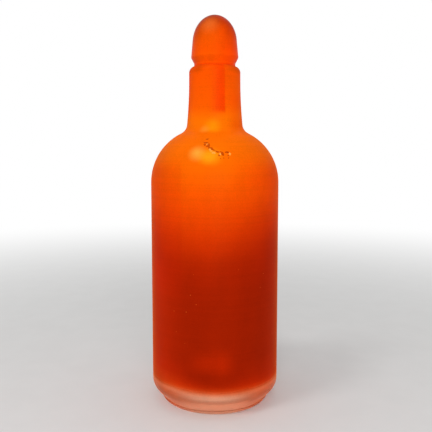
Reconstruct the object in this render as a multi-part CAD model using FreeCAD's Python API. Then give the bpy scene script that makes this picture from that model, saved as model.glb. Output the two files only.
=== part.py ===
import FreeCAD, Part
import math
import os

# Stoppered art glass bottle, in millimetres, with +Z up.
# The origin is the centre of the flat underside, so the bottle stands on z = 0.
# The bottle is one piece of cased glass in two fused layers: a clear casing outside, with a
# thick base, and an orange lining inside.  A solid glass stopper rests on the lip, and its
# tapered plug hangs in the neck.  All three pieces are turned about Z, so each is an outline
# of radius against height, revolved.

# Body
body_radius = 54.75             # radius of the wall where the shoulder begins
wall_spread = 0.65              # how much wider the wall is just above the heel
body_height = 189.8             # from the underside to where the shoulder begins
shoulder_radius = 46.6          # radius of the shoulder's arc

# Neck and lip
neck_height = 50.8              # from the crown of the shoulder's arc up to the lip
neck_radius = 21.65             # at the narrowest place, just below the lip
neck_flare = 400.0              # radius of the slow outward curve of the neck's side
neck_root = 9.1                 # radius of the hollow curve where neck meets shoulder
lip_band = 8.2                  # from the neck's narrowest place up to the lip
lip_land = 0.4                  # flat width of casing left on top of the lip

# Foot and heel
foot_inset = 7.9                # how far the foot stands in from the wall
foot_roll_width = 6.0           # width of the rounded lower edge of the foot
foot_roll_height = 4.0          # height of the same edge, up to the ridge
ridge_step = 0.5                # width of the ridge line between foot and heel
heel_height = 13.7              # level where the heel's slope would meet the wall
heel_rounding = 10.5            # radius that blends the slope into the wall

# Glass
casing_wall = 3.2               # clear layer round the body
casing_neck = 5.6               # clear layer round the neck
casing_base = 17.0              # clear glass under the lining
lining_wall = 1.8               # orange layer in the body and the neck
lining_base = 2.6               # orange layer across the bottom
lining_mouth = 2.8              # orange layer at the mouth of the socket
cup_rounding = 22.0             # radius of the lining's lower outside corner

# Socket that the stopper's plug hangs in
socket_taper = 0.05             # how much the radius falls for each millimetre down
socket_relief = 4.0             # height over which the socket opens out into the plain bore
plain_bore = 3.1                # straight bore left between the relief and the neck's root
plug_end_room = 1.5             # from the plug's end down to the start of the relief
plug_clearance = 0.2            # gap all round between plug and socket

# Stopper
stopper_height = 42.2           # from the lip to the top of the dome
collar_inset = 4.3              # how far the collar stands in from the neck's side
collar_height = 2.4             # straight side of the collar
dome_overhang = 2.5             # how far the dome's lower edge stands out from the collar
dome_edge_height = 7.7          # from the lip to the centre of the dome's rounded edge
dome_edge_rounding = 2.2        # radius of that edge
dome_flank_lean = 5.4           # degrees that the dome's flank leans in
dome_nose_height = 22.9         # half height of the ellipse that rounds the top
plug_end_rounding = 1.5         # radius round the plug's end


def point(radius, height):
    return FreeCAD.Vector(radius, 0, height)


def line(start, end):
    return Part.LineSegment(start, end).toShape()


def arc(start, end, centre):
    """The shorter arc of a circle between two of its points."""
    radius = (start - centre).Length
    outward = (start + end) * 0.5 - centre
    outward.normalize()
    return Part.Arc(start, centre + outward * radius, end).toShape()


def ellipse_arc(start, end, centre, half_width, half_height):
    """The arc of an upright ellipse between two of its points, as an exact rational curve."""
    def turn_to(place):
        reach = place - centre
        return math.atan2(reach.z / half_height, reach.x / half_width)

    middle = (turn_to(start) + turn_to(end)) / 2
    weight = math.cos((turn_to(end) - turn_to(start)) / 2)
    pull = point(half_width * math.cos(middle), half_height * math.sin(middle))
    curve = Part.BezierCurve()
    curve.setPoles([start, centre + pull / weight, end])
    curve.setWeight(2, weight)
    return curve.toShape()


def upper_meeting(centre_a, radius_a, centre_b, radius_b):
    """The higher of the two points where two circles cross, with centre b outside centre a."""
    between = centre_b - centre_a
    distance = between.Length
    along = (radius_a ** 2 - radius_b ** 2 + distance ** 2) / (2 * distance)
    aside = math.sqrt(radius_a ** 2 - along ** 2)
    between.normalize()
    across = point(-between.z, between.x)
    return centre_a + between * along + across * aside


def toward(start, target, distance):
    """The point at a distance from start on the way to target."""
    step = target - start
    step.normalize()
    return start + step * distance


def rounded_corner(before, corner, after, radius):
    """Where a corner's rounding starts and ends, and the centre of its circle."""
    arriving = before - corner
    leaving = after - corner
    half_angle = arriving.getAngle(leaving) / 2
    start = toward(corner, before, radius / math.tan(half_angle))
    end = toward(corner, after, radius / math.tan(half_angle))
    centre = toward(corner, (start + end) * 0.5, radius / math.sin(half_angle))
    return start, end, centre


def outer_tangent(outside, centre, radius):
    """Where a line from a point below a circle touches the circle's outer side."""
    reach = centre - outside
    lean = math.atan2(reach.x, reach.z) + math.asin(radius / reach.Length)
    length = math.sqrt(reach.Length ** 2 - radius ** 2)
    return outside + point(math.sin(lean), math.cos(lean)) * length


# Levels and radii that several outlines share
heel_radius = body_radius + wall_spread
crown = body_height + shoulder_radius
lip = crown + neck_height
neck_narrowest = lip - lip_band
layer_radius = neck_radius - casing_neck
socket_radius = layer_radius - lining_mouth
axis_foot = point(0, 0)
axis_cup_outside = point(0, casing_base)
axis_cup_inside = point(0, casing_base + lining_base)


def flared_side(body_inset, neck_inset):
    """Points and centres of one glass surface from the top of the wall to the neck's narrowest place.

    The outer surface has no inset; the surfaces inside it are set in by the glass outside them.
    """
    shoulder = shoulder_radius - body_inset
    flare = neck_flare + neck_inset
    root = neck_root + body_inset
    side = {}
    side["wall_top"] = point(body_radius - body_inset, body_height)
    side["shoulder_centre"] = point(body_radius - shoulder_radius, body_height)
    side["flare_centre"] = point(neck_radius + neck_flare, neck_narrowest)
    side["root_centre"] = upper_meeting(
        side["shoulder_centre"], shoulder + root, side["flare_centre"], flare - root
    )
    side["shoulder_top"] = toward(side["shoulder_centre"], side["root_centre"], shoulder)
    side["root_top"] = toward(side["flare_centre"], side["root_centre"], flare)
    side["narrowest"] = point(neck_radius - neck_inset, neck_narrowest)
    return side


def shoulder_and_root(side):
    """Edges from the top of the wall over the shoulder to the top of the neck's root."""
    return [
        arc(side["wall_top"], side["shoulder_top"], side["shoulder_centre"]),
        arc(side["shoulder_top"], side["root_top"], side["root_centre"]),
    ]


def cup(axis_point, side, body_inset, rounding):
    """Edges of a round-cornered cup from the axis out and up to the top of the wall."""
    corner = point(heel_radius - body_inset, axis_point.z)
    start, end, centre = rounded_corner(axis_point, corner, side["wall_top"], rounding)
    return [line(axis_point, start), arc(start, end, centre), line(end, side["wall_top"])]


def turned(edges):
    """One solid from a closed outline, revolved about Z."""
    face = Part.Face(Part.Wire(edges))
    return face.revolve(FreeCAD.Vector(0, 0, 0), FreeCAD.Vector(0, 0, 1), 360)


outer = flared_side(0, 0)
layer = flared_side(casing_wall, casing_neck)
inner = flared_side(casing_wall + lining_wall, casing_neck + lining_wall)
lip_at_layer = point(layer_radius, lip)
lip_at_socket = point(socket_radius, lip)


def layer_edges():
    """The surface shared by casing and lining, from the axis up to the lip."""
    edges = cup(axis_cup_outside, layer, casing_wall, cup_rounding)
    edges += shoulder_and_root(layer)
    edges.append(arc(layer["root_top"], layer["narrowest"], layer["flare_centre"]))
    edges.append(line(layer["narrowest"], lip_at_layer))
    return edges


def make_casing():
    foot_radius = heel_radius - foot_inset
    foot_flat = point(foot_radius - foot_roll_width, 0)
    roll_centre = point(foot_radius - foot_roll_width, foot_roll_height)
    ridge_outside = point(foot_radius, foot_roll_height)
    ridge_inside = point(foot_radius - ridge_step, foot_roll_height)
    heel_corner = point(heel_radius, heel_height)
    heel_start, heel_end, heel_centre = rounded_corner(
        ridge_inside, heel_corner, outer["wall_top"], heel_rounding
    )
    lip_rounding = casing_neck - lip_land
    lip_side = point(neck_radius, lip - lip_rounding)
    lip_centre = point(neck_radius - lip_rounding, lip - lip_rounding)
    lip_top = point(neck_radius - lip_rounding, lip)
    edges = [
        line(axis_foot, foot_flat),
        ellipse_arc(foot_flat, ridge_outside, roll_centre, foot_roll_width, foot_roll_height),
        line(ridge_outside, ridge_inside),
        line(ridge_inside, heel_start),
        arc(heel_start, heel_end, heel_centre),
        line(heel_end, outer["wall_top"]),
    ]
    edges += shoulder_and_root(outer)
    edges += [
        arc(outer["root_top"], outer["narrowest"], outer["flare_centre"]),
        line(outer["narrowest"], lip_side),
        arc(lip_side, lip_top, lip_centre),
        line(lip_top, lip_at_layer),
    ]
    edges += reversed(layer_edges())
    edges.append(line(axis_cup_outside, axis_foot))
    return turned(edges)


def bore_radius(height):
    """Radius of the plain bore in the neck, which follows the neck's slow outward curve."""
    flare = (inner["narrowest"] - inner["flare_centre"]).Length
    return inner["flare_centre"].x - math.sqrt(flare ** 2 - (neck_narrowest - height) ** 2)


relief_low = inner["root_top"].z + plain_bore
relief_high = relief_low + socket_relief
plug_end = relief_high + plug_end_room


def make_lining():
    relief_start = point(bore_radius(relief_low), relief_low)
    socket_low_radius = socket_radius - socket_taper * (lip - relief_high)
    socket_end = point(socket_low_radius, relief_high)
    cup_inside_rounding = cup_rounding - lining_base
    inside = cup(axis_cup_inside, inner, casing_wall + lining_wall, cup_inside_rounding)
    inside += shoulder_and_root(inner)
    inside += [
        arc(inner["root_top"], relief_start, inner["flare_centre"]),
        line(relief_start, socket_end),
        line(socket_end, lip_at_socket),
    ]
    edges = layer_edges()
    edges.append(line(lip_at_layer, lip_at_socket))
    edges += reversed(inside)
    edges.append(line(axis_cup_inside, axis_cup_outside))
    return turned(edges)


def make_stopper():
    plug_radius = socket_radius - plug_clearance
    plug_low_radius = plug_radius - socket_taper * (lip - plug_end)
    plug_axis = point(0, plug_end)
    plug_corner = point(plug_low_radius, plug_end)
    plug_top = point(plug_radius, lip)
    rounding_start, rounding_end, rounding_centre = rounded_corner(
        plug_axis, plug_corner, plug_top, plug_end_rounding
    )

    collar_radius = neck_radius - collar_inset
    collar_low = point(collar_radius, lip)
    collar_high = point(collar_radius, lip + collar_height)

    lean = math.radians(dome_flank_lean)
    edge_radius = collar_radius + dome_overhang
    edge_centre = point(edge_radius - dome_edge_rounding, lip + dome_edge_height)
    edge_low = outer_tangent(collar_high, edge_centre, dome_edge_rounding)
    edge_high = edge_centre + point(math.cos(lean), math.sin(lean)) * dome_edge_rounding

    # The nose is an ellipse that the leaning flank just touches.
    nose_centre = point(0, lip + stopper_height - dome_nose_height)
    flank_at_centre = edge_high.x - math.tan(lean) * (nose_centre.z - edge_high.z)
    nose_radius = math.sqrt(flank_at_centre ** 2 - (math.tan(lean) * dome_nose_height) ** 2)
    touch_angle = math.atan(math.tan(lean) * dome_nose_height / nose_radius)
    flank_top = nose_centre + point(
        nose_radius * math.cos(touch_angle), dome_nose_height * math.sin(touch_angle)
    )
    nose_top = point(0, lip + stopper_height)
    edges = [
        line(plug_axis, rounding_start),
        arc(rounding_start, rounding_end, rounding_centre),
        line(rounding_end, plug_top),
        line(plug_top, collar_low),
        line(collar_low, collar_high),
        line(collar_high, edge_low),
        arc(edge_low, edge_high, edge_centre),
        line(edge_high, flank_top),
        ellipse_arc(flank_top, nose_top, nose_centre, nose_radius, dome_nose_height),
        line(nose_top, plug_axis),
    ]
    return turned(edges)


pieces = {
    "casing": make_casing(),
    "lining": make_lining(),
    "stopper": make_stopper(),
}

os.makedirs("parts", exist_ok=True)
for name, piece in pieces.items():
    piece.exportStep("parts/" + name + ".step")
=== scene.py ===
import math
import random

import bmesh
import bpy
import numpy as np
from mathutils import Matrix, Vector


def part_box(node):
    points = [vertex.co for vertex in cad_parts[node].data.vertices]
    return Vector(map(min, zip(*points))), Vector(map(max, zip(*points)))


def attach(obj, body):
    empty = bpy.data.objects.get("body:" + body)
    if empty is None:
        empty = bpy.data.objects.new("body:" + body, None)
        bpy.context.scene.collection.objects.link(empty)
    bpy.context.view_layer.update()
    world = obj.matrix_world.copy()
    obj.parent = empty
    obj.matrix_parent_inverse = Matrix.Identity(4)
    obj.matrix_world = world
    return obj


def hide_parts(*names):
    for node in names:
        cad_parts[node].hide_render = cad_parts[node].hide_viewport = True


# Looks for the stoppered art glass bottle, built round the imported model.
# Everything is in metres, except where a comment or a docstring says millimetres.  A place on
# the glass is a bearing, in degrees round the axis from the front (-Y) towards +X, and a height
# above the underside in millimetres.

MM = 0.001
TOUCHING = 1e-6             # points nearer than this are one point
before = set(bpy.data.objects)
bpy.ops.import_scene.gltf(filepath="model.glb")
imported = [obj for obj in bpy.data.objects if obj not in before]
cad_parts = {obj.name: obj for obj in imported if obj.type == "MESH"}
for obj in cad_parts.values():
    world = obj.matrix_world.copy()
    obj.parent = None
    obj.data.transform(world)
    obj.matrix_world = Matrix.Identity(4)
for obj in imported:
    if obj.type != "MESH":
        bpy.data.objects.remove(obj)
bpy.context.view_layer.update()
draw = random.Random(7)

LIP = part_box("casing")[1].z
PLUG_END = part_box("stopper")[0].z


# ---------------------------------------------------------------------------------------------
# Outlines and surfaces of revolution
# ---------------------------------------------------------------------------------------------

def outline_of(node):
    """The outline of a turned CAD node, from its lowest end to its other one, both on the axis.

    It is read along the seam of the turned faces, as points of (radius, height).
    """
    bm = bmesh.new()
    bm.from_mesh(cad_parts[node].data)
    bmesh.ops.remove_doubles(bm, verts=bm.verts, dist=TOUCHING)
    seam = {v for v in bm.verts if abs(v.co.y) < TOUCHING and v.co.x > -TOUCHING}

    def next_on_seam(vert, passed):
        beside = (e.other_vert(vert) for e in vert.link_edges)
        return [v for v in beside if v in seam and v not in passed]

    ends = [v for v in seam if len(next_on_seam(v, ())) == 1]
    walked = [min(ends, key=lambda v: v.co.z)]
    while onward := next_on_seam(walked[-1], walked):
        walked.append(onward[0])
    pairs = [Vector((v.co.x, v.co.z)) for v in walked]
    bm.free()
    first, last = Vector((0, pairs[0].y)), Vector((0, pairs[-1].y))
    off_axis = [p for p in pairs if p.x > TOUCHING]
    return [first, *off_axis, last]


def turn_at(outline, i):
    """How sharply an outline turns at point i, in degrees."""
    if i <= 0 or i >= len(outline) - 1:
        return 180.0
    arriving = outline[i] - outline[i - 1]
    leaving = outline[i + 1] - outline[i]
    return math.degrees(arriving.angle(leaving))


def rounded(outline, step, corner=25.0):
    """The same outline with its facets rounded by a Hermite curve, except at real corners.

    The curve is held inside the outline's own greatest radius and lowest height.
    """
    widest = max(p.x for p in outline)
    lowest = min(p.y for p in outline)
    smooth = [outline[0]]
    for i in range(len(outline) - 1):
        a, b = outline[i], outline[i + 1]
        before = outline[i - 1] if turn_at(outline, i) < corner else a * 2 - b
        after = outline[i + 2] if turn_at(outline, i + 1) < corner else b * 2 - a
        length = (b - a).length
        lead = (b - before).normalized() * length
        trail = (after - a).normalized() * length
        count = max(1, round(length / step))
        for k in range(1, count + 1):
            t = k / count
            p = (
                a * (2 * t ** 3 - 3 * t ** 2 + 1) + lead * (t ** 3 - 2 * t ** 2 + t)
                + b * (3 * t ** 2 - 2 * t ** 3) + trail * (t ** 3 - t ** 2)
            )
            smooth.append(Vector((min(p.x, widest), max(p.y, lowest))))
    return smooth


def sunk(outline, depth):
    """An outline moved to its right by some depth, except at its first point."""
    moved = [outline[0]]
    for i in range(1, len(outline)):
        ahead = outline[min(i + 1, len(outline) - 1)] - outline[i - 1]
        aside = Vector((-ahead.y, ahead.x)).normalized()
        moved.append(outline[i] - aside * depth)
    moved[-1].x = 0
    return moved


def revolve(name, outline, segments):
    """A smooth closed mesh turned from an outline that starts and ends on the axis."""
    bm = bmesh.new()
    turns = [2 * math.pi * k / segments for k in range(segments)]
    rings = [
        [bm.verts.new((p.x * math.cos(t), p.x * math.sin(t), p.y)) for t in turns]
        for p in outline[1:-1]
    ]
    poles = [bm.verts.new((0, 0, p.y)) for p in (outline[0], outline[-1])]
    for lower, upper in zip(rings, rings[1:]):
        for k in range(segments):
            j = (k + 1) % segments
            bm.faces.new((lower[k], lower[j], upper[j], upper[k]))
    for k in range(segments):
        j = (k + 1) % segments
        bm.faces.new((poles[0], rings[0][j], rings[0][k]))
        bm.faces.new((poles[1], rings[-1][k], rings[-1][j]))
    bmesh.ops.recalc_face_normals(bm, faces=bm.faces)
    return as_object(name, bm, sharp=40)


def as_object(name, bm, sharp=60):
    """A scene object from a bmesh, shaded smooth except at edges sharper than some degrees."""
    mesh = bpy.data.meshes.new(name)
    bm.to_mesh(mesh)
    bm.free()
    mesh.shade_smooth()
    mesh.set_sharp_from_angle(angle=math.radians(sharp))
    obj = bpy.data.objects.new(name, mesh)
    bpy.context.scene.collection.objects.link(obj)
    return obj


CASING_SEGMENTS = 256
FACET = 1.2 * MM            # longest piece of the casing's rounded outside
INTO_LINING = 0.4 * MM      # how far the casing's hidden inside reaches into the lining
HEEL_TOP = 15 * MM          # above this the outside is one surface, with one radius a height

outer_and_inner = outline_of("casing")
lip_inside = next(
    i for i in range(1, len(outer_and_inner))
    if outer_and_inner[i - 1].y > LIP - TOUCHING > outer_and_inner[i].y
) - 1
outside = rounded(outer_and_inner[:lip_inside + 1], FACET)
inside = sunk(outer_and_inner[lip_inside:], INTO_LINING)
outer_wall = [p for p in outside if p.y > HEEL_TOP]


def wall_radius(height):
    """The casing's outer radius at a height above the heel."""
    return float(np.interp(height, [p.y for p in outer_wall], [p.x for p in outer_wall]))


def on_outside(bearing, height):
    """The spot at a place on the casing's outside, and the way the glass faces there."""
    level = height * MM
    slope = (wall_radius(level + 0.5 * MM) - wall_radius(level - 0.5 * MM)) / MM
    turn = math.radians(bearing)
    ahead = Vector((math.sin(turn), -math.cos(turn), 0))
    spot = ahead * wall_radius(level) + Vector((0, 0, level))
    facing = (ahead - Vector((0, 0, slope))).normalized()
    return spot, facing


# ---------------------------------------------------------------------------------------------
# Building node materials
# ---------------------------------------------------------------------------------------------

NOISE_RANGE = (0.3, 0.7)        # where nearly all of a noise's values lie
NOISE_CORE = (0.35, 0.65)       # the part of it that gives more contrast


def tone(red, green, blue):
    """A colour given in the usual 0 to 255 steps, as the linear colour that nodes take."""
    def linear(value):
        share = value / 255
        return share / 12.92 if share <= 0.04045 else ((share + 0.055) / 1.055) ** 2.4

    return (linear(red), linear(green), linear(blue), 1.0)


class Shader:
    """A node material under construction, with the object's own coordinates at hand."""

    def __init__(self, name):
        self.material = bpy.data.materials.new(name)
        self.material.use_nodes = True
        self.tree = self.material.node_tree
        self.tree.nodes.clear()
        self.place = self.node("ShaderNodeTexCoord").outputs["Object"]
        split = self.node("ShaderNodeSeparateXYZ", Vector=self.place)
        self.x, self.y, self.z = split.outputs

    def node(self, kind, settings=(), **inputs):
        """A new node with its settings, and its inputs by name, with _ for a space."""
        made = self.tree.nodes.new(kind)
        for key, value in dict(settings).items():
            setattr(made, key, value)
        for key, value in inputs.items():
            self.put(made, key.replace("_", " "), value)
        return made

    def put(self, node, key, value):
        """Links a socket to a node's input, or sets a plain value on the input itself."""
        socket = node.inputs[int(key) if key.isdigit() else key]
        if isinstance(value, bpy.types.NodeSocket):
            self.tree.links.new(value, socket)
        else:
            socket.default_value = value

    def math(self, operation, *values):
        """The result of one step of arithmetic on numbers or sockets."""
        made = self.node("ShaderNodeMath", {"operation": operation})
        for i, value in enumerate(values):
            self.put(made, str(i), value)
        return made.outputs[0]

    def product(self, first, *factors):
        """All of the factors multiplied."""
        for factor in factors:
            first = self.math("MULTIPLY", first, factor)
        return first

    def noise(self, across, up=None, detail=3.0, roughness=0.55):
        """Noise with so many features a metre across the object, and so many up the axis."""
        stretched = self.node("ShaderNodeMapping", Vector=self.place)
        stretched.inputs["Scale"].default_value = (across, across, across if up is None else up)
        made = self.node(
            "ShaderNodeTexNoise", Vector=stretched.outputs[0],
            Scale=1.0, Detail=detail, Roughness=roughness,
        )
        return made.outputs["Fac"]

    def spread(self, value, low, high, to_low=0.0, to_high=1.0, smooth=True):
        """A value's range low..high, carried to another range and held at its ends."""
        kind = "SMOOTHSTEP" if smooth else "LINEAR"
        made = self.node("ShaderNodeMapRange", {"interpolation_type": kind}, Value=value)
        for key, number in (("From Min", low), ("From Max", high),
                            ("To Min", to_low), ("To Max", to_high)):
            made.inputs[key].default_value = number
        return made.outputs["Result"]

    def up(self, low, high, to_low=0.0, to_high=1.0):
        """A number that changes between two heights in millimetres."""
        return self.spread(self.z, low * MM, high * MM, to_low, to_high)

    def across(self, low, high, to_low=0.0, to_high=1.0):
        """A number that changes from left to right, between two x in millimetres."""
        return self.spread(self.x, low * MM, high * MM, to_low, to_high)

    def outward(self, low, high, to_low=0.0, to_high=1.0, smooth=True):
        """A number that changes to both sides alike, between two distances in millimetres."""
        aside = self.math("ABSOLUTE", self.x)
        return self.spread(aside, low * MM, high * MM, to_low, to_high, smooth)

    def near(self, spot, reach):
        """1 at a spot on the glass, falling softly to 0 at some reach from it."""
        gap = self.node("ShaderNodeVectorMath", {"operation": "DISTANCE"})
        self.put(gap, "0", self.place)
        gap.inputs[1].default_value = spot
        return self.spread(gap.outputs["Value"], 0.0, reach, 1.0, 0.0)

    def mix(self, factor, first, second, blend="MIX"):
        """Two colours mixed, with more of the second where the factor is higher."""
        made = self.node("ShaderNodeMix", {"data_type": "RGBA", "blend_type": blend})
        for key, value in ((0, factor), (6, first), (7, second)):
            self.put(made, str(key), value)
        return made.outputs[2]

    def by_height(self, stops, height=None):
        """A smooth colour ramp up the axis, from stops of (height in mm, colour).

        It is read at the object's own height, or at another one that it is given.
        """
        low, high = stops[0][0], stops[-1][0]
        height = self.z if height is None else height
        share = self.spread(height, low * MM, high * MM, smooth=False)
        ramp = self.node("ShaderNodeValToRGB", Fac=share)
        band = ramp.color_ramp
        band.interpolation = "B_SPLINE"
        while len(band.elements) < len(stops):
            band.elements.new(1.0)
        for element, (level, colour) in zip(band.elements, stops):
            element.position = (level - low) / (high - low)
            element.color = colour
        return ramp.outputs["Color"]

    def shaded(self, colour, changes, patterns):
        """A colour made brighter or darker.

        Each change is a share of the brightness and where it holds, and each pattern is a noise
        and the share that it adds or takes at most.
        """
        value = 1.0
        for share, where in changes:
            value = self.math("MULTIPLY_ADD", share, where, value)
        for pattern, most in patterns:
            change = self.spread(pattern, *NOISE_RANGE, -most, most, smooth=False)
            value = self.math("ADD", value, change)
        return self.node("ShaderNodeHueSaturation", Color=colour, Value=value).outputs["Color"]

    def bump(self, height, strength, distance):
        """The surface's direction where it is a little raised or lowered."""
        made = self.node("ShaderNodeBump", Height=height, Strength=strength, Distance=distance)
        return made.outputs["Normal"]

    def between(self, factor, first, second):
        """Two shaders mixed, as the surface that the mix gives."""
        both = self.node("ShaderNodeMixShader", Fac=factor)
        self.tree.links.new(first.outputs[0], both.inputs[1])
        self.tree.links.new(second.outputs[0], both.inputs[2])
        return both

    def finish(self, shader, lets_lamps_in=False):
        """Ends the material; one that lets lamps in is clear to their shadow rays."""
        if lets_lamps_in:
            rays = self.node("ShaderNodeLightPath")
            clear = self.node("ShaderNodeBsdfTransparent")
            shader = self.between(rays.outputs["Is Shadow Ray"], shader, clear)
        output = self.node("ShaderNodeOutputMaterial")
        self.tree.links.new(shader.outputs[0], output.inputs["Surface"])
        return self.material


# ---------------------------------------------------------------------------------------------
# The glass
# ---------------------------------------------------------------------------------------------

# Colours up the bottle, with heights in mm, as the orange layer looks through the casing; the
# brighter band at 240 mm, at the neck root, is a painted glow
BODY_TONES = (
    (23.3, tone(218, 82, 28)), (26.2, tone(196, 44, 5)), (30, tone(172, 31, 1)),
    (36, tone(156, 27, 1)), (46, tone(160, 28, 1)), (60, tone(161, 29, 1)),
    (92, tone(158, 28, 1)), (112, tone(168, 30, 1)), (128, tone(178, 34, 1)),
    (144, tone(206, 48, 1)), (160, tone(228, 64, 1)), (176, tone(240, 80, 1)),
    (192, tone(245, 92, 1)), (214, tone(247, 112, 2)), (232, tone(248, 110, 2)),
    (240, tone(248, 120, 2)), (246, tone(248, 106, 2)), (253, tone(246, 92, 1)),
    (287, tone(243, 80, 1)),
)
# Colours of the clear foot under it
FOOT_TONES = (
    (0, tone(250, 198, 172)), (4, tone(252, 178, 138)), (8, tone(255, 152, 110)),
    (14, tone(255, 158, 118)), (16.5, tone(255, 184, 150)), (19.5, tone(252, 178, 142)),
    (21.3, tone(240, 136, 94)),
)
# Colours of the painted shade that reddens the sides of the upper body
SHADED_FLANK_TONES = (
    (90, tone(164, 22, 1)), (130, tone(170, 24, 1)), (150, tone(212, 40, 1)),
    (168, tone(234, 56, 1)), (184, tone(255, 72, 1)), (202, tone(226, 58, 1)),
    (216, tone(240, 90, 1)),
)
# Colours of the stopper, browner and darker towards the top of the dome as painted shade
STOPPER_TONES = (
    (248, tone(206, 46, 1)), (286, tone(226, 60, 1)), (289, tone(245, 84, 1)),
    (293, tone(244, 85, 1)), (299, tone(240, 78, 1)), (306, tone(240, 84, 1)),
    (314, tone(235, 82, 2)), (320, tone(210, 70, 3)), (325, tone(174, 56, 6)),
    (329.4, tone(150, 48, 12)),
)
HEEL_SIDES = tone(248, 114, 66)
FRINGE_LEFT = tone(190, 82, 24)
NECK_ROOT_RIGHT = tone(244, 74, 1)
PLUG_BEHIND_GLASS = tone(243, 66, 1)
# Painted shade on the stopper's right side
STOPPER_SHADED_RIGHT = tone(242, 54, 1)
STOPPER_PAINTED_HIGHLIGHT = tone(255, 130, 50)
WARM_GLOSS = tone(255, 205, 110)        # tints what the glass reflects
WARM_SHEEN = tone(250, 138, 52)
LINING_MOTTLE = tone(255, 140, 10)
GLASS_IOR = 1.5

# Heights in mm over which one look of the glass gives way to the next
CLEAR_TO_ORANGE = (14, 26)
GLOSSY_TO_MATT = (12, 28)
HEEL_TO_WALL = (19, 25)
FRINGE_STARTS = (21, 25)
FRINGE_ENDS = (26, 40)
FOOT_GLOW_STARTS = (22, 27)
FOOT_GLOW_ENDS = (36, 52)
DARK_PART_STARTS = (23, 36)
DARK_PART_ENDS = (105, 155)
RISE_STARTS = (60, 120)
FLANK_STARTS = (90, 130)
FLANK_ENDS = (200, 216)
RIGHT_FLANK_STARTS = (180, 196)
ROOT_STARTS = (228, 238)
ROOT_ENDS = (258, 272)
NECK_STARTS = (230, 248)
NECK_TO_LIP = (279, 285)
WAIST_ENDS = (296, 304)
DOME_RIM_STARTS = (301, 315)
CROWN_STARTS = (314, 322)

# How the casing differs between its foot and its body
TRANSMISSION = (0.62, 0.08)
ROUGHNESS = (0.05, 0.28)

# How far the casing's colours move down (+) or up from their heights; the drop at the far left
# is painted light, and the rise on the right of the upper body is painted shade
TILT = 0.02                         # for each millimetre to the right
LEFT_LIMB_LIGHT_DROP = 2.2 * MM
RIGHT_SHADE_RISE = 14 * MM                # in the upper body only

# Columns of the plug behind the neck: the bearing of a sharp side, the way from one column to
# the next, and the shares of that way over which a column begins softly and ends sharply
COLUMN_SIDE = 25.0
COLUMN_SPACING = 90.0
COLUMN_BEGINS = (0.52, 0.86)
COLUMN_ENDS = (0.96, 0.99)

# Small painted patches: painted glows on the shoulder, at the neck root and on the lower body,
# and the last one painted shade on the lip's left side: bearing, height in mm, reach in mm,
# share and colour
PAINTED_LIGHT_PATCHES = (
    (-17.0, 215.3, 9.5, 0.54, tone(255, 192, 72)),
    (-2.6, 213.0, 10.5, 0.50, tone(255, 184, 20)),
    (-8.5, 212.5, 9.0, 0.34, tone(255, 184, 24)),
    (-4.0, 236.5, 10.0, 0.35, tone(255, 180, 10)),
    (-19.0, 234.0, 6.0, 0.30, tone(255, 170, 60)),
    (4.0, 46.0, 18.0, 0.43, tone(214, 42, 1)),
    (-12.0, 47.0, 14.0, 0.27, tone(214, 42, 1)),
    (-38.0, 284.0, 7.5, 0.42, tone(200, 64, 1)),
)

# The painted highlight on the dome
PAINTED_HIGHLIGHT_PLACE = (-4.5 * MM, -14.5 * MM, 319.5 * MM)
PAINTED_HIGHLIGHT_REACH = 12 * MM


def colour_height(s):
    """The height at which the casing's colours are read.

    They sit a little lower towards the right, and at the far left, where it is painted light.  In
    the upper body they rise to the right as painted shade, so that the dark part reaches higher
    there.
    """
    tilted = s.math("MULTIPLY_ADD", s.x, TILT, s.z)
    level = s.math("ADD", tilted, s.across(-52, -34, LEFT_LIMB_LIGHT_DROP, 0.0))
    rise = s.product(s.across(-4, 52, 0.0, RIGHT_SHADE_RISE), s.up(*RISE_STARTS))
    return s.math("SUBTRACT", level, rise)


def redder_flanks(s):
    """How much painted shade reddens the sides of the upper body.

    On the left it ends along a fairly sharp line.
    """
    left = s.across(-27.5, -24.5, 0.25, -0.04)
    right = s.product(s.across(6, 30, 0.0, 0.28), s.up(*RIGHT_FLANK_STARTS))
    both = s.outward(26, 54, 0.0, 0.45, smooth=False)
    sides = s.math("ADD", s.math("ADD", left, both), right)
    held = s.product(s.up(*FLANK_STARTS), s.up(*FLANK_ENDS, 1.0, 0.0))
    return s.product(held, sides)


def body_colour(s):
    """The casing's colour by height, and where it differs at the sides.

    The redder flanks of the upper body are painted shade.
    """
    heel = s.product(s.up(*HEEL_TO_WALL, 1.0, 0.0), s.outward(8, 42, 0.0, 0.95))
    fringe = s.product(s.up(*FRINGE_STARTS), s.up(*FRINGE_ENDS, 1.0, 0.0))
    fringe_left = s.product(fringe, s.across(-46, -14, 0.16, 0.0))
    root = s.product(s.up(*ROOT_STARTS), s.up(*ROOT_ENDS, 1.0, 0.0))
    root_right = s.product(root, s.across(8, 18, 0.0, 0.45))

    colour = s.by_height(FOOT_TONES + BODY_TONES, colour_height(s))
    for share, other in (
        (heel, HEEL_SIDES),
        (fringe_left, FRINGE_LEFT),
        (redder_flanks(s), s.by_height(SHADED_FLANK_TONES)),
        (root_right, NECK_ROOT_RIGHT),
    ):
        colour = s.mix(share, colour, other)
    return colour


def plug_columns(s):
    """Where the stopper's plug shows through the neck, as streaky darker columns."""
    bearing = s.math("ARCTAN2", s.x, s.math("MULTIPLY", s.y, -1.0))
    turned = s.math("SUBTRACT", bearing, math.radians(COLUMN_SIDE))
    share = s.math("FRACT", s.math("DIVIDE", turned, math.radians(COLUMN_SPACING)))
    column = s.product(s.spread(share, *COLUMN_BEGINS), s.spread(share, *COLUMN_ENDS, 1.0, 0.0))
    streaks = s.spread(s.noise(260, 7), *NOISE_RANGE, 0.55, 1.0)
    held = s.spread(s.z, PLUG_END - 2 * MM, PLUG_END + 3 * MM)
    return s.product(column, streaks, held)


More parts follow.
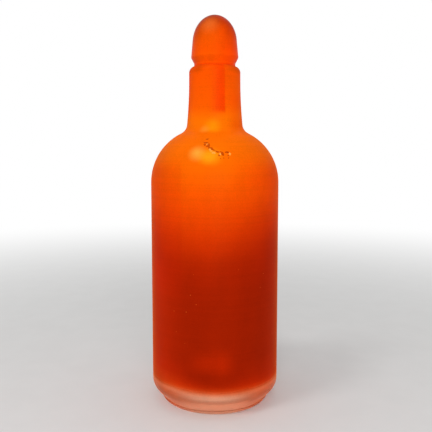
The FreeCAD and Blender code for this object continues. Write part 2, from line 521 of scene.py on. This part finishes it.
def side_light(s):
    """Painted light and shade that change the casing's brightness from side to side.

    They are given as shares and where they hold: painted light on the sides of the lower body
    and of the neck, painted light on the sides of the foot's glow with painted shade at its
    middle, and painted shade on the sides at the lip.
    """
    # Painted light: the lower body brighter towards both sides
    low_sides = s.math("ADD", s.across(-60, -17, 0.8, 0.0), s.across(36, 56, 0.0, 0.4))
    dark_part = s.product(s.up(*DARK_PART_ENDS, 1.0, 0.0), s.up(*DARK_PART_STARTS))
    foot_glow = s.product(s.up(*FOOT_GLOW_STARTS), s.up(*FOOT_GLOW_ENDS, 1.0, 0.0))
    neck_not_lip = s.product(s.up(*NECK_STARTS), s.up(*NECK_TO_LIP, 1.0, -1.0))
    return (
        (low_sides, dark_part),
        (s.outward(4, 30, -0.10, 0.18), foot_glow),
        (s.outward(6, 20, 0.0, 0.14), neck_not_lip),
    )


def casing_colour(s):
    """The casing's whole colour, with its painted patches of glow and shade, before its brightness
    changes.
    """
    colour = s.mix(plug_columns(s), body_colour(s), PLUG_BEHIND_GLASS)
    for bearing, height, reach, share, other in PAINTED_LIGHT_PATCHES:
        spot = on_outside(bearing, height)[0]
        colour = s.mix(s.product(s.near(spot, reach * MM), share), colour, other)
    return colour


def satin_casing():
    """Satin glass: frosted and clear at the foot, backed by the orange layer above it.

    Its surface has fine turning lines, cloudy places and the grain of the frosting.
    """
    s = Shader("satin_clear_glass")
    frost = s.noise(900, detail=2)
    cloud = s.noise(60, 34)
    rings = s.noise(6, 900, detail=4, roughness=0.7)
    coarse = s.noise(4, 260, detail=2)
    patterns = ((rings, 0.03), (coarse, 0.025), (cloud, 0.05), (frost, 0.05))

    matt = s.math("ADD", s.up(*GLOSSY_TO_MATT, *ROUGHNESS), s.product(cloud, 0.06))
    lines = s.math("ADD", s.spread(rings, *NOISE_RANGE), s.product(coarse, 0.6))
    relief = s.math("ADD", lines, s.product(frost, 0.35))
    glass = s.node(
        "ShaderNodeBsdfPrincipled",
        Base_Color=s.shaded(casing_colour(s), side_light(s), patterns),
        Roughness=matt,
        Transmission_Weight=s.up(*CLEAR_TO_ORANGE, *TRANSMISSION),
        Normal=s.bump(relief, 0.25, 0.05 * MM),
        IOR=GLASS_IOR,
        Specular_IOR_Level=0.0,
        Specular_Tint=WARM_GLOSS,
        Sheen_Weight=0.6,
        Sheen_Roughness=0.28,
        Sheen_Tint=WARM_SHEEN,
    )
    return s.finish(glass, lets_lamps_in=True)


def orange_lining():
    """The orange layer itself, mottled as molten glass is."""
    s = Shader("orange_glass_layer")
    mottle = s.spread(s.noise(55, 26, detail=4), *NOISE_CORE, 0.0, 0.10)
    colour = s.mix(mottle, s.by_height(BODY_TONES), LINING_MOTTLE, "MULTIPLY")
    layer = s.node(
        "ShaderNodeBsdfPrincipled", Base_Color=colour, Roughness=0.5, Specular_IOR_Level=0.0,
    )
    return s.finish(layer)


def orange_stopper():
    """Solid orange glass with a satin surface, with a painted highlight on the dome.

    Painted shade makes it redder to the right and dark at the dome's sides and top.
    """
    s = Shader("orange_satin_glass")
    # Painted shade: redder to the right
    colour = s.mix(s.across(-5, 14, 0.0, 0.5), s.by_height(STOPPER_TONES), STOPPER_SHADED_RIGHT)
    # Painted highlight on the dome
    highlight = s.near(PAINTED_HIGHLIGHT_PLACE, PAINTED_HIGHLIGHT_REACH)
    colour = s.mix(s.product(highlight, 0.35), colour, STOPPER_PAINTED_HIGHLIGHT)
    # Painted shade on the dome's sides and on the right of its crown, and painted light on the
    # right of its waist
    rim = (s.outward(5, 15, -0.05, -0.26), s.up(*DOME_RIM_STARTS))
    waist = (s.across(0, 14, 0.05, 0.14), s.up(*WAIST_ENDS, 1.0, 0.0))
    crown = (s.across(-6, 8, 0.0, -0.12), s.up(*CROWN_STARTS))
    mottle = s.noise(120, 70, detail=4)
    grain = s.noise(1100, detail=2)
    glass = s.node(
        "ShaderNodeBsdfPrincipled",
        Base_Color=s.shaded(colour, (rim, waist, crown), ((mottle, 0.06), (grain, 0.05))),
        Roughness=s.spread(s.noise(90), *NOISE_RANGE, 0.34, 0.42),
        Normal=s.bump(grain, 0.12, 0.03 * MM),
        IOR=GLASS_IOR,
        Specular_IOR_Level=0.03,
        Specular_Tint=WARM_GLOSS,
    )
    return s.finish(glass)


def chip_glass(name, dark, light, roughness):
    """Broken or bubbled glass of the blemishes, mottled between two tones."""
    s = Shader(name)
    blend = s.spread(s.noise(1500, detail=2), *NOISE_CORE)
    glass = s.node(
        "ShaderNodeBsdfPrincipled",
        Base_Color=s.mix(blend, dark, light),
        Roughness=s.spread(s.noise(700), *NOISE_RANGE, roughness, roughness + 0.1),
        Specular_IOR_Level=0.05,
        Specular_Tint=WARM_GLOSS,
    )
    return s.finish(glass)


casing = revolve("casing_glass", outside + inside[1:], CASING_SEGMENTS)
casing.data.materials.append(satin_casing())
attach(casing, "root")
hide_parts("casing")

for node, make in (("lining", orange_lining), ("stopper", orange_stopper)):
    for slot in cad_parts[node].material_slots:
        slot.material = make()


# ---------------------------------------------------------------------------------------------
# Blemishes in the glass
# ---------------------------------------------------------------------------------------------

# The bruise on the front of the shoulder is a crescent of chips along a fine crack.
# Each chip is a bearing, a height in mm, a length and a width in mm, and its turn in degrees.
DARK_CHIPS = (
    (-8.9, 226.2, 3.0, 1.9, 20), (-9.6, 223.4, 4.2, 1.9, 5), (-6.4, 221.2, 2.5, 4.6, 0),
    (-10.4, 221.8, 2.2, 2.8, 30), (-8.0, 220.4, 2.0, 1.5, 0), (-2.9, 218.8, 3.4, 2.1, -50),
    (-5.7, 219.6, 1.4, 2.6, 8), (-1.2, 217.8, 2.6, 1.3, -25), (2.7, 216.3, 3.0, 1.7, -20),
    (5.8, 216.4, 2.0, 1.0, 0), (7.3, 214.8, 2.3, 3.6, 8), (12.0, 216.0, 4.2, 2.1, 0),
    (4.2, 213.6, 1.6, 1.8, 0), (12.6, 213.4, 1.4, 1.2, 0), (5.4, 211.2, 0.9, 1.5, 0),
    (8.2, 211.6, 0.8, 1.2, 0), (12.8, 211.6, 0.8, 1.7, 0),
)
# Pale chips, whose pale colour is a painted glint on the chipped glass
GLINT_CHIPS = (
    (-4.7, 218.3, 1.5, 2.4, 15), (-3.4, 217.1, 2.2, 1.3, -30), (-0.7, 215.6, 3.8, 1.8, -8),
    (5.2, 214.7, 1.5, 2.3, 0), (14.4, 214.8, 1.7, 3.2, 0), (-8.2, 222.3, 1.6, 1.3, 0),
)
CRACK = ((-6.0, 220.2), (-3.2, 218.4), (1.5, 216.8), (6.0, 215.9))
CRACK_THICKNESS = 0.4 * MM
CRACK_UNEVEN = (0.75, 1.25)     # how much its thickness varies
CRACK_STRAY = (0.25, 0.2)       # at most, in degrees and mm

# A chip's shape: how much its rim varies, and its crown and root as shares of its width
CHIP_RAGGED = (0.75, 1.2)
CHIP_CROWN = 0.16
CHIP_ROOT = 0.3

BRUISED_TONES = (tone(168, 53, 1), tone(218, 90, 2))
# The pale chips' colours are a painted glint
GLINT_TONES = (tone(250, 140, 40), tone(255, 180, 80))
SEED_TONES = (tone(206, 70, 24), tone(226, 104, 50))

SEED_COUNT = 44
SEED_HEIGHTS = (30, 150)        # mm
SEED_LENGTHS = (0.45, 1.0)      # mm


def axes_on_outside(bearing, height):
    """A place on the outside with its directions to the right, up the surface and outwards."""
    spot, out = on_outside(bearing, height)
    right = Vector((0, 0, 1)).cross(out).normalized()
    return spot, right, out.cross(right), out


def add_chip(bm, bearing, height, length, width, turn, sides=9):
    """A shallow irregular lens of glass, half sunk in the surface."""
    spot, right, up, out = axes_on_outside(bearing, height)
    lean = math.radians(turn)
    rim = []
    for k in range(sides):
        angle = 2 * math.pi * k / sides
        ragged = draw.uniform(*CHIP_RAGGED) * MM / 2
        along = ragged * length * math.cos(angle)
        across = ragged * width * math.sin(angle)
        x = along * math.cos(lean) - across * math.sin(lean)
        y = along * math.sin(lean) + across * math.cos(lean)
        rim.append(bm.verts.new(spot + right * x + up * y))
    crown = bm.verts.new(spot + out * CHIP_CROWN * width * MM)
    root = bm.verts.new(spot - out * CHIP_ROOT * width * MM)
    for k in range(sides):
        j = (k + 1) % sides
        bm.faces.new((rim[k], rim[j], crown))
        bm.faces.new((rim[j], rim[k], root))


def add_thread(bm, line, thickness, sides=8):
    """A thin uneven thread of glass along a line of spots and the ways they face.

    It tapers to both ends, which stay a little open and are closed by a face each.
    """
    rings = []
    count = len(line)
    turns = [2 * math.pi * k / sides for k in range(sides)]
    for i, (spot, out) in enumerate(line):
        after, before = line[min(i + 1, count - 1)][0], line[max(i - 1, 0)][0]
        aside = (after - before).normalized().cross(out)
        taper = math.sin(math.pi * (i + 0.6) / (count + 0.2)) ** 0.5
        radius = thickness * taper * draw.uniform(*CRACK_UNEVEN) / 2
        rings.append([
            bm.verts.new(spot + (out * math.cos(t) + aside * math.sin(t)) * radius) for t in turns
        ])
    for first, second in zip(rings, rings[1:]):
        for k in range(sides):
            j = (k + 1) % sides
            bm.faces.new((first[k], first[j], second[j], second[k]))
    bm.faces.new(reversed(rings[0]))
    bm.faces.new(rings[-1])


def add_crack(bm, places, thickness, steps=5):
    """A thread that strays a little on its way through places on the outside."""
    path = [Vector(place) for place in places]
    line = []
    for start, end in zip(path, path[1:]):
        for k in range(steps):
            stray = Vector([draw.uniform(-most, most) for most in CRACK_STRAY])
            line.append(on_outside(*(start.lerp(end, k / steps) + stray)))
    add_thread(bm, line, thickness)


def add_piece(name, bm, material):
    """A new piece from a bmesh, in its material and riding on the bottle."""
    bmesh.ops.recalc_face_normals(bm, faces=bm.faces)
    piece = as_object(name, bm)
    piece.data.materials.append(material)
    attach(piece, "root")


def make_bruise():
    """The bruise, as one piece of dark chips and the crack, and one of pale chips whose colour is a
    painted glint.
    """
    dark, pale = bmesh.new(), bmesh.new()
    for chip in DARK_CHIPS:
        add_chip(dark, *chip)
    add_crack(dark, CRACK, CRACK_THICKNESS)
    for chip in GLINT_CHIPS:
        add_chip(pale, *chip)
    bruised = chip_glass("bruised_glass", *BRUISED_TONES, roughness=0.3)
    glint_glass = chip_glass("painted_glint_glass", *GLINT_TONES, roughness=0.25)
    add_piece("bruise_chips", dark, bruised)
    add_piece("bruise_glints", pale, glint_glass)


def make_seeds():
    """Tiny bubbles that break the surface of the lower body, paler than the glass round them,
    partly as a painted glint.
    """
    bm = bmesh.new()
    for _ in range(SEED_COUNT):
        length = draw.uniform(*SEED_LENGTHS)
        bearing = draw.uniform(-180, 180)
        height = draw.uniform(*SEED_HEIGHTS)
        add_chip(bm, bearing, height, length, length * 0.8, draw.uniform(0, 180), sides=7)
    seed = chip_glass("seed_bubble_glass", *SEED_TONES, roughness=0.25)
    add_piece("seed_bubbles", bm, seed)


make_bruise()
make_seeds()


# ---------------------------------------------------------------------------------------------
# Floor, light and camera
# ---------------------------------------------------------------------------------------------

FLOOR_RADIUS = 6.0
FLOOR_GAP = 0.2 * MM                # the floor lies just under the foot
FLOOR_FADE = (0.20, 1.2)            # distance over which it turns white
FLOOR_TONES = (tone(233, 233, 232), tone(235, 235, 234))
AMBIENT = 0.52
WHITE = 1.0                         # the strength that is seen as plain white

# Softboxes: name, place, where they point, diameter and watts
LAMPS = (
    ("fill", (0.13, -1.3, 0.45), (0, 0, 0.15), 0.9, 6.9),
    ("high_left", (-0.54, -0.40, 1.34), (0, 0, 0.2), 0.28, 2.6),
    ("high_front", (-0.09, -0.79, 1.34), (0, 0, 0.2), 0.22, 2.0),
)
CAMERA_PLACE = (1.05 * MM, -482 * MM, 219.6 * MM)
CAMERA_PITCH = 7.0                  # degrees below level
CAMERA_LENS = 46.42                 # mm, on a sensor 36 mm wide


def background_rays(tree):
    """1 for rays that see the background: the camera's own, those in gloss and through glass."""
    rays = tree.nodes.new("ShaderNodeLightPath")
    seen = rays.outputs["Is Camera Ray"]
    for kind in ("Is Glossy Ray", "Is Transmission Ray"):
        either = tree.nodes.new("ShaderNodeMath")
        either.operation = "MAXIMUM"
        tree.links.new(seen, either.inputs[0])
        tree.links.new(rays.outputs[kind], either.inputs[1])
        seen = either.outputs[0]
    return seen


def pale_floor():
    """A pale floor that runs out into the white of the background."""
    s = Shader("pale_floor")
    grain = s.spread(s.noise(30, detail=4), *NOISE_RANGE)
    colour = s.mix(grain, *FLOOR_TONES)
    paint = s.node("ShaderNodeBsdfDiffuse", Color=colour)
    white = s.node("ShaderNodeEmission", Color=(1, 1, 1, 1), Strength=WHITE)
    radius = s.node("ShaderNodeVectorMath", {"operation": "LENGTH"})
    s.put(radius, "0", s.place)
    far = s.spread(radius.outputs["Value"], *FLOOR_FADE)
    return s.finish(s.between(s.product(background_rays(s.tree), far), paint, white))


def make_floor():
    """A wide round floor, which is stage and not part of the object."""
    bm = bmesh.new()
    bmesh.ops.create_circle(bm, cap_ends=True, segments=96, radius=FLOOR_RADIUS)
    bmesh.ops.translate(bm, verts=bm.verts, vec=(0, 0, -FLOOR_GAP))
    floor = as_object("floor", bm)
    floor.data.materials.append(pale_floor())


def make_world():
    """Even ambient light, seen as white behind the object, in its gloss and through its glass."""
    world = bpy.data.worlds.new("studio")
    bpy.context.scene.world = world
    world.use_nodes = True
    tree = world.node_tree
    tree.nodes.clear()
    both = tree.nodes.new("ShaderNodeMixShader")
    tree.links.new(background_rays(tree), both.inputs[0])
    for socket, strength in ((1, AMBIENT), (2, WHITE)):
        background = tree.nodes.new("ShaderNodeBackground")
        background.inputs["Color"].default_value = (1, 1, 1, 1)
        background.inputs["Strength"].default_value = strength
        tree.links.new(background.outputs[0], both.inputs[socket])
    output = tree.nodes.new("ShaderNodeOutputWorld")
    tree.links.new(both.outputs[0], output.inputs["Surface"])


def add_softbox(name, place, target, size, watts):
    """A round soft lamp that points at a target."""
    data = bpy.data.lights.new(name, "AREA")
    data.shape = "DISK"
    data.size = size
    data.energy = watts
    lamp = bpy.data.objects.new(name, data)
    lamp.location = place
    lamp.rotation_euler = (Vector(target) - Vector(place)).to_track_quat("-Z", "Y").to_euler()
    bpy.context.scene.collection.objects.link(lamp)


def add_camera(place, pitch, lens):
    """The scene's camera, level from side to side and pitched down by some degrees."""
    data = bpy.data.cameras.new("camera")
    data.lens = lens
    data.sensor_width = 36.0
    camera = bpy.data.objects.new("camera", data)
    camera.location = place
    camera.rotation_euler = (math.radians(90 - pitch), 0, 0)
    bpy.context.scene.collection.objects.link(camera)
    bpy.context.scene.camera = camera


make_floor()
make_world()
for lamp in LAMPS:
    add_softbox(*lamp)
add_camera(CAMERA_PLACE, CAMERA_PITCH, CAMERA_LENS)
bpy.context.scene.view_settings.view_transform = "Standard"
